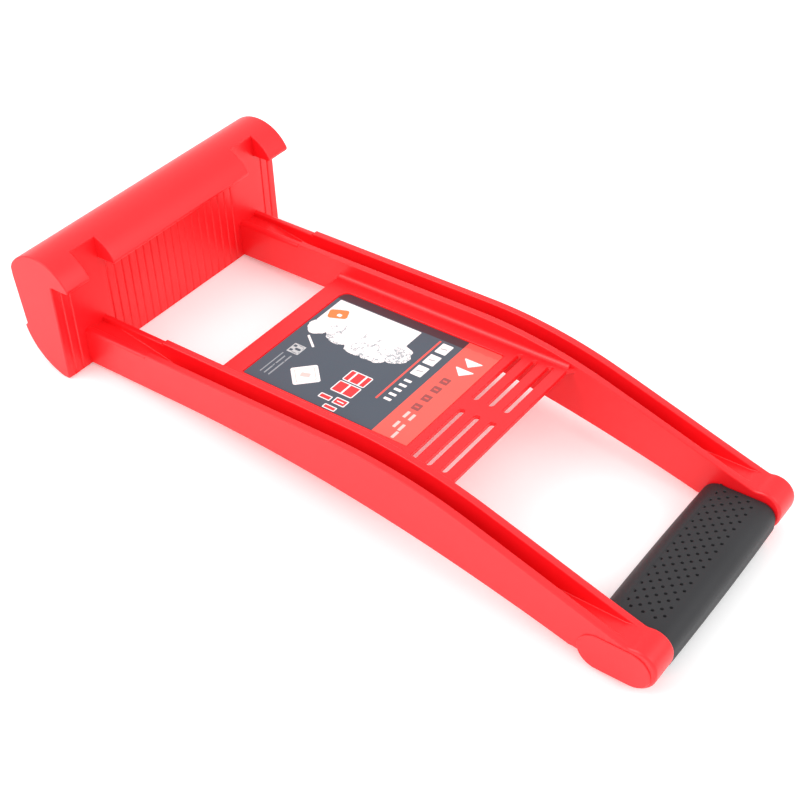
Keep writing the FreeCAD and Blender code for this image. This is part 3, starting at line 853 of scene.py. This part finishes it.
def rail_columns():
    """Columns across a rail, one row for each of the eight things that place them.

    The rows are the column's Y, its shares of the edge's, lip's and foot's radius in Y and then in
    Z, and its share of the channel's depth.  Edge, lip and foot are quarter circles of six columns.
    """
    angle = np.linspace(math.pi / 2, 0, 6)
    quarter = np.linspace(0, math.pi / 2, 6)
    zero, one = np.zeros(6), np.ones(6)
    wall = np.array([
        np.concatenate([RAIL_IN + zero, CHANNEL_IN + zero, CHANNEL_IN + CHANNEL_DRAFT * one]),
        np.concatenate([1 - np.sin(angle), zero, zero]),
        np.concatenate([zero, np.sin(quarter) - 1, zero]),
        np.concatenate([zero, zero, 1 - np.cos(quarter)]),
        np.concatenate([1 - np.cos(angle), zero, zero]),
        np.concatenate([zero, 1 - np.cos(quarter), zero]),
        np.concatenate([zero, zero, 1 - np.sin(quarter)]),
        np.concatenate([zero, zero, one]),
    ])
    middle = np.array([[(CHANNEL_IN + CHANNEL_OUT) / 2, 0, 0, 0, 0, 0, 0, 1]]).T
    other = wall[:, ::-1] * np.array([[1, -1, -1, -1, 1, 1, 1, 1]]).T
    other[0] = np.concatenate([CHANNEL_OUT - CHANNEL_DRAFT * one, CHANNEL_OUT + zero, RAIL_OUT + zero])
    return np.hstack([wall, middle, other])


def rail(side):
    """Side rail with its rounded end: its outline in X and Z, carried across Y in columns.

    Top points are lowered by the channel: next to its edge they follow a quarter circle down, then
    the wall, then a fillet to the floor.  The channel's depth is the height of the top over its
    floor.  Past WIDE_X the edges grow rounder, as s^2 (3 - 2 s) of the share s of WIDE_LENGTH.
    """
    path, is_top = rail_outline()
    x = path[:, 0]
    sunk = rail_sink(x) * is_top
    fade = np.clip((SLOPE_END_X - x) / CHANNEL_FADE, 0, 1)
    depth = np.maximum(path[:, 1] - sunk - channel_floor(x), 0) * fade * is_top
    share = np.clip((x - WIDE_X) / WIDE_LENGTH, 0, 1)
    wide = share * share * (3 - 2 * share)
    edge = np.where(is_top & (x < NOTCH_X), RAIL_HEAD_EDGE, EDGE + WIDE_EDGE * wide)
    lip = np.minimum(CHANNEL_LIP + WIDE_LIP * wide, depth / 2)[:, None]
    foot = np.minimum(CHANNEL_FOOT, depth / 2)[:, None]

    base, edge_y, lip_y, foot_y, edge_z, lip_z, foot_z, sinks = rail_columns()[:, None, :]
    level = base + edge_y * edge[:, None] + lip_y * lip + foot_y * foot
    shape = path[:, None] + inward(path)[:, None] * (edge[:, None] * edge_z)[..., None]
    shape[..., 1] += foot * foot_z - sunk[:, None] - lip * lip_z - depth[:, None] * sinks
    return shut(along_y(np.dstack([shape, level])) * [1, side, 1])


def end_pad(side):
    """Low oval pad with a rounded rim on the outer face of a rail's rounded end."""
    low, high = (OVAL_X[0], OVAL_TOP - 2 * OVAL_RADIUS), (OVAL_X[1], OVAL_TOP)
    oval = round_rectangle(low, high, OVAL_RADIUS, OVAL_RADIUS, 13)
    points = carry(oval, RAIL_OUT - OVAL_BURIED, RAIL_OUT + OVAL_HEIGHT, 0, OVAL_EDGE, 6)
    return shut(along_y(points) * [1, side, 1])


# ---------------------------------------------------------------- cross panel
def recess_cutter():
    """Cutter of the label recess: its mouth is rounded outward, and it stands on beyond the panel's top."""
    path = round_rectangle((RECESS_X[0], -RECESS_HALF), (RECESS_X[1], RECESS_HALF), RECESS_CORNER, RECESS_TIP,
                           right_radius=RECESS_RIGHT)
    points = carry(path, PANEL_TOP - RECESS_DEPTH, PANEL_TOP + CLEAR, 0, -RECESS_EDGE, 5)
    return shut(np.concatenate([points, points[:, -1:] + [0, 0, PAST]], axis=1))


def slot_cutter(middle_x, low_y, high_y):
    """Cutter of one slot, flared at both faces of the panel."""
    turn = SLOT / 2 - 0.01
    path = round_rectangle((middle_x - SLOT / 2, low_y), (middle_x + SLOT / 2, high_y), turn, turn, 7)
    points = carry(path, PANEL_UNDER - CLEAR, PANEL_TOP + CLEAR, -SLOT_EDGE, -SLOT_EDGE, 4)
    below = points[:, :1] - [0, 0, PAST]
    above = points[:, -1:] + [0, 0, PAST]
    return shut(np.concatenate([below, points, above], axis=1))


def cross_panel():
    """Plate between the rails, with fillets up to them, a label recess and rows of slots.

    Its section (y, z) reaches a little into both rails and is carried along X.
    """
    quarter = math.pi / 2
    side_y, side_z = RAIL_IN + PANEL_BURIED, PANEL_TOP + COVE
    section = tidy(np.vstack([
        [[-side_y, PANEL_UNDER], [side_y, PANEL_UNDER], [side_y, side_z]],
        arc((RAIL_IN - COVE, side_z), COVE, 0, -quarter, 8),
        arc((COVE - RAIL_IN, side_z), COVE, -quarter, -2 * quarter, 8),
        [[-side_y, side_z]],
    ]))
    plate = shut(along_x(carry(section, PANEL_LOW_X, PANEL_HIGH_X, PANEL_EDGE, PANEL_EDGE)))
    cutters = [recess_cutter()]
    for row in range(SLOT_ROWS):
        middle_x = SLOT_X + row * SLOT_PITCH
        cutters.append(slot_cutter(middle_x, *SLOT_Y))
        cutters.append(slot_cutter(middle_x, -SLOT_Y[1], -SLOT_Y[0]))
    return carve(plate, cutters)


def corner_bevel(side):
    """Small bevel in the corner between the panel's hand edge and a rail, sunk into both."""
    inside_x, inside_y = PANEL_HIGH_X - 1.0, RAIL_IN + BEVEL_BURIED
    path = soften([
        [inside_x, RAIL_IN - BEVEL - 1.0, 0],
        [PANEL_HIGH_X + BEVEL, RAIL_IN, 0.3],
        [PANEL_HIGH_X + BEVEL, inside_y, 0],
        [inside_x, inside_y, 0],
    ])
    return shut(carry(path, PANEL_UNDER, PANEL_TOP, BEVEL_EDGE, BEVEL_EDGE) * [1, side, 1])


# ---------------------------------------------------------------- grip
def grip():
    """Soft sleeve: a rounded outline carried along Y, fuller in the middle, with dimples on its top.

    The outline grows by GRIP_CROWN (1 - (y / half)^2).  A dimple has steep sides: at distance d from
    its middle the skin sinks by DIMPLE_DEPTH (1 - (d / DIMPLE_RADIUS)^4).
    """
    low = np.array([GRIP_LOW_X, GRIP_LOW_Z]) + GRIP_CROWN
    high = np.array([GRIP_HIGH_X, GRIP_HIGH_Z]) - GRIP_CROWN
    palm, back = GRIP_PALM - GRIP_CROWN, GRIP_BACK - GRIP_CROWN
    around = np.concatenate([-DIMPLE_GRID[:0:-1], DIMPLE_GRID])
    fine_x = (DIMPLE_X + DIMPLE_PITCH * np.arange(DIMPLE_COLUMNS)[:, None] + around).ravel()
    flat_x = np.linspace(low[0] + palm + 1, high[0] - back - 1, 6)
    path = tidy(np.vstack([
        np.stack([flat_x, 0 * flat_x + low[1]], axis=1),
        arc((high[0] - back, low[1] + back), back, -math.pi / 2, 0, 12),
        arc((high[0] - back, high[1] - back), back, 0, math.pi / 2, 12),
        np.stack([fine_x[::-1], 0 * fine_x + high[1]], axis=1),
        arc((low[0] + palm, high[1] - palm), palm, math.pi / 2, math.pi, 12),
        arc((low[0] + palm, low[1] + palm), palm, math.pi, 1.5 * math.pi, 12),
    ]))
    end = RAIL_IN - GRIP_GAP
    short, drawn_end = end_rings(GRIP_EDGE, 5)
    rows = np.arange(-DIMPLE_ROWS, DIMPLE_ROWS + 1)[:, None]
    fine_y = (DIMPLE_MIDDLE_Y + DIMPLE_ROW * rows + around).ravel()
    level = np.concatenate([-end + short, fine_y, (end - short)[::-1]])
    drawn = np.concatenate([drawn_end, 0 * fine_y, drawn_end[::-1]]) - GRIP_CROWN * (1 - (level / end) ** 2)

    column = np.clip(np.round((path[:, 0] - DIMPLE_X) / DIMPLE_PITCH), 0, DIMPLE_COLUMNS - 1)[:, None]
    stagger = (column % 2) / 2
    step = (level[None] - DIMPLE_MIDDLE_Y) / (2 * DIMPLE_ROW)
    row = 2 * DIMPLE_ROW * (np.round(step - stagger) + stagger)
    aside = path[:, :1] - (DIMPLE_X + column * DIMPLE_PITCH)
    away = (aside ** 2 + (level[None] - DIMPLE_MIDDLE_Y - row) ** 2) / DIMPLE_RADIUS ** 2
    above = (path[:, 1] > high[1] - 1)[:, None] & (np.abs(row) < DIMPLE_ROW * (DIMPLE_ROWS + 0.5))
    sink = DIMPLE_DEPTH * np.maximum(1 - away ** 2, 0) * above
    shape = path[:, None] + inward(path)[:, None] * (drawn[None] + sink)[..., None]
    return shut(along_y(np.dstack([shape, np.broadcast_to(level, shape.shape[:2])])))


# ---------------------------------------------------------------- label
def label_sheet():
    """Thin film whose corners follow the recess's at a small gap."""
    path = round_rectangle((LABEL_LOW_X, -LABEL_HALF), (LABEL_HIGH_X, LABEL_HALF), RECESS_CORNER - LABEL_GAP,
                           RECESS_TIP - LABEL_GAP, right_radius=RECESS_RIGHT - LABEL_GAP)
    return shut(carry(path, LABEL_LOW_Z, LABEL_TOP, 0, LABEL_EDGE, 3))


# ---------------------------------------------------------------- assemble
piece("moulded_head", head_shell(), RED,
      ["head_cover", "ribbed_wall", "left_lip", "middle_lip", "right_lip"])
for hand, side in (("left", 1), ("right", -1)):
    piece(f"moulded_{hand}_end", end_plate(side), RED, [f"{hand}_end_plate"])
    piece(f"moulded_{hand}_rail", rail(side), RED, [f"{hand}_rail", f"{hand}_rail_end"])
    piece(f"moulded_{hand}_pad", end_pad(side), RED, [])
    piece(f"moulded_{hand}_bevel", corner_bevel(side), RED, [])
piece("moulded_panel", cross_panel(), RED, ["cross_panel"])
piece("soft_grip", grip(), BLACK, ["grip_sleeve"], smooth=75.0)
piece("printed_label", label_sheet(), PRINT, ["label_sheet"])
for node in [*(f"head_web_{number}" for number in range(1, 6)), "handle_core"]:
    materials = frame["nodes"][node].data.materials
    materials.clear()
    materials.append(RED)


# ---------------------------------------------------------------- studio
def studio_floor():
    """Plain pale floor that glows a little."""
    paint = Paint("studio_floor", Roughness=0.6)
    paint.shader.inputs["Base Color"].default_value = (0.93, 0.93, 0.93, 1)
    paint.shader.inputs["Emission Color"].default_value = (1, 1, 1, 1)
    paint.shader.inputs["Emission Strength"].default_value = 0.18
    mesh = bpy.data.meshes.new("studio_floor")
    corner = 6.0
    mesh.from_pydata([(-corner, -corner, 0), (corner, -corner, 0), (corner, corner, 0), (-corner, corner, 0)],
                     [], [(0, 1, 2, 3)])
    mesh.materials.append(paint.material)
    item = bpy.data.objects.new("studio_floor", mesh)
    bpy.context.scene.collection.objects.link(item)


def softbox(name, spot, size, power):
    """Square area light at a point, aimed at the middle of the carrier."""
    light = bpy.data.lights.new(name, "AREA")
    light.size = size
    light.energy = power
    item = bpy.data.objects.new(name, light)
    item.location = spot
    item.rotation_euler = (Vector((0, 0, 0.03)) - Vector(spot)).to_track_quat("-Z", "Y").to_euler()
    bpy.context.scene.collection.objects.link(item)


def studio_sky():
    """Even white light from all round."""
    world = bpy.data.worlds.new("studio_sky")
    world.use_nodes = True
    world.node_tree.nodes["Background"].inputs["Color"].default_value = (1, 1, 1, 1)
    world.node_tree.nodes["Background"].inputs["Strength"].default_value = 1.0
    bpy.context.scene.world = world


def camera():
    """Camera: its place in the rail frame, and its heading, pitch and roll there, in degrees."""
    spot = np.array([487.85, -444.45, 433.26])
    heading, pitch, roll = np.radians([-37.881, -39.131, 2.476])
    level = np.array([math.sin(heading), math.cos(heading), 0])
    view = math.cos(pitch) * level + [0, 0, math.sin(pitch)]
    right = np.array([math.cos(heading), -math.sin(heading), 0])
    down = np.cross(view, right)
    right, down = (math.cos(roll) * right + math.sin(roll) * down,
                   math.cos(roll) * down - math.sin(roll) * right)
    data = bpy.data.cameras.new("camera")
    data.sensor_width = 36.0
    data.lens = 68.42
    data.shift_x, data.shift_y = -0.00156, 0.00075
    item = bpy.data.objects.new("camera", data)
    turn = np.eye(4)
    turn[:3, :3] = np.stack([right @ AXES, -down @ AXES, -view @ AXES], axis=1)
    turn[:3, 3] = place(spot)
    item.matrix_world = Matrix(turn.tolist())
    bpy.context.scene.collection.objects.link(item)
    bpy.context.scene.camera = item


studio_floor()
studio_sky()
softbox("key", (-0.9, -1.2, 1.2), 1.2, 18.0)
softbox("fill", (1.2, 0.4, 1.3), 1.2, 8.0)
camera()
bpy.context.scene.view_settings.view_transform = "Standard"
